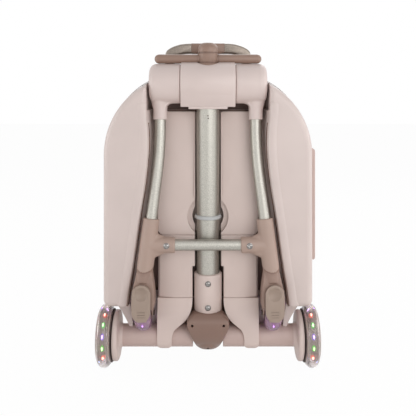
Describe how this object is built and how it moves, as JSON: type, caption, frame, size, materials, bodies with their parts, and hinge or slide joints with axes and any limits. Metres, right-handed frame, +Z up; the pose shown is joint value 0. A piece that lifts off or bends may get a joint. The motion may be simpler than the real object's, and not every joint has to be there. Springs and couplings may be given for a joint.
{
  "type": "ride on suitcase",
  "caption": "Child's hard-shell case with a fold-out ride-on frame: saddle column, swing frame with small wheels, pull handle, axle beam with lit wheels and a hinged lid.",
  "frame": {"origin": "on the ground, midway across the whole object's width and depth", "axes": "+Z up, -Y towards the fold-out frame at the back of the case, +Y towards the lid, +X to the side handle"},
  "size_m": [0.3643, 0.2267, 0.5385],
  "materials": {
    "shell": "satin pale pink",
    "lining": "woven polyester",
    "brown_trim": "woven zip tape and dark trim",
    "panel": "fine satin pink",
    "steel": "polished",
    "dark_plastic": "satin mauve brown",
    "foot_rubber": "matt",
    "champagne_metal": "bead blasted, champagne anodised",
    "taupe_plastic": "satin taupe",
    "fork_plastic": "satin brown pink",
    "clear_tyre": "translucent, glossy",
    "lamp": "lit from inside"
  },
  "bodies": {
    "case": {"back_shell": "shell", "back_lining": "lining", "zip_tape_back": "brown_trim", "back_cover": "panel", "block_left": "panel", "block_right": "panel", "leg_left": "panel", "leg_right": "panel", "beam_left": "panel", "beam_right": "panel", "hub_cover_left": "panel", "hub_cover_right": "panel", "axle_rod": "steel", "rail_left": "dark_plastic", "rail_right": "dark_plastic", "rubber_foot_left": "foot_rubber", "rubber_foot_right": "foot_rubber", "gusset_left": "shell", "gusset_right": "shell", "carry_arm_left": "champagne_metal", "carry_arm_right": "champagne_metal", "carry_grip": "dark_plastic", "side_handle": "taupe_plastic", "hinge_case": "brown_trim"},
    "lid": {"front_shell": "shell", "front_lining": "lining", "zip_tape_front": "brown_trim", "hinge_lid": "brown_trim"},
    "zip": {"zip_slider": "steel"},
    "column": {"column_foot": "dark_plastic", "foot_sleeve": "panel", "column_tube": "champagne_metal", "collar_ring": "champagne_metal", "head_barrel": "shell", "column_screws": "steel"},
    "frame": {"yoke_left": "shell", "yoke_right": "shell", "arm_tube_left": "champagne_metal", "arm_tube_right": "champagne_metal", "bracket_left": "taupe_plastic", "bracket_right": "taupe_plastic", "cross_tube": "champagne_metal", "frame_screws": "steel", "fork_left": "fork_plastic", "fork_right": "fork_plastic", "caster_pins": "steel"},
    "handle": {"slide_tube": "champagne_metal", "handle_stem": "fork_plastic", "handle_bar": "fork_plastic"},
    "button": {"release_button": "dark_plastic"},
    "wheel_left": {"wheel_core_left": "panel", "tyre_left": "clear_tyre", "lamps_left": "lamp"},
    "wheel_right": {"wheel_core_right": "panel", "tyre_right": "clear_tyre", "lamps_right": "lamp"},
    "caster_left": {"caster_left": "clear_tyre"},
    "caster_right": {"caster_right": "clear_tyre"},
    "pedal_left": {"pedal_left": "taupe_plastic"},
    "pedal_right": {"pedal_right": "taupe_plastic"}
  },
  "joints": [
    {"name": "column_fold", "type": "hinge", "parent": "case", "child": "column", "pos_m": [0, -0.0525, 0.05], "axis": [1, 0, 0], "range_deg": [0, 50]},
    {"name": "frame_swing", "type": "hinge", "parent": "column", "child": "frame", "pos_m": [0, -0.0525, 0.468], "axis": [-1, 0, 0], "range_deg": [0, 94]},
    {"name": "handle_slide", "type": "slide", "parent": "column", "child": "handle", "axis": [0, 0, 1], "range_m": [0, 0.25]},
    {"name": "button_press", "type": "slide", "parent": "handle", "child": "button", "axis": [0, 0, -1], "range_m": [0, 0.0025], "stiffness_N_per_m": 400, "springref_m": -0.001},
    {"name": "wheel_left_spin", "type": "hinge", "parent": "case", "child": "wheel_left", "pos_m": [-0.1695, -0.0525, 0.05], "axis": [1, 0, 0], "continuous": true},
    {"name": "wheel_right_spin", "type": "hinge", "parent": "case", "child": "wheel_right", "pos_m": [0.1695, -0.0525, 0.05], "axis": [1, 0, 0], "continuous": true},
    {"name": "caster_left_spin", "type": "hinge", "parent": "frame", "child": "caster_left", "pos_m": [-0.105, -0.07153, 0.09471], "axis": [1, 0, 0], "continuous": true},
    {"name": "caster_right_spin", "type": "hinge", "parent": "frame", "child": "caster_right", "pos_m": [0.105, -0.07153, 0.09471], "axis": [1, 0, 0], "continuous": true},
    {"name": "pedal_left_press", "type": "hinge", "parent": "frame", "child": "pedal_left", "pos_m": [-0.105, -0.09571, 0.13627], "axis": [1, 0, 0], "range_deg": [0, 3.5], "stiffness_Nm_per_rad": 4, "springref_deg": -1.72},
    {"name": "pedal_right_press", "type": "hinge", "parent": "frame", "child": "pedal_right", "pos_m": [0.105, -0.09571, 0.13627], "axis": [1, 0, 0], "range_deg": [0, 3.5], "stiffness_Nm_per_rad": 4, "springref_deg": -1.72},
    {"name": "lid_open", "type": "hinge", "parent": "case", "child": "lid", "pos_m": [-0.1772, 0.0135, 0.29], "axis": [0, 0, 1], "range_deg": [0, 110]},
    {"name": "zip_run", "type": "slide", "parent": "case", "child": "zip", "axis": [0, 0, 1], "range_m": [0, 0.19]}
  ]
}
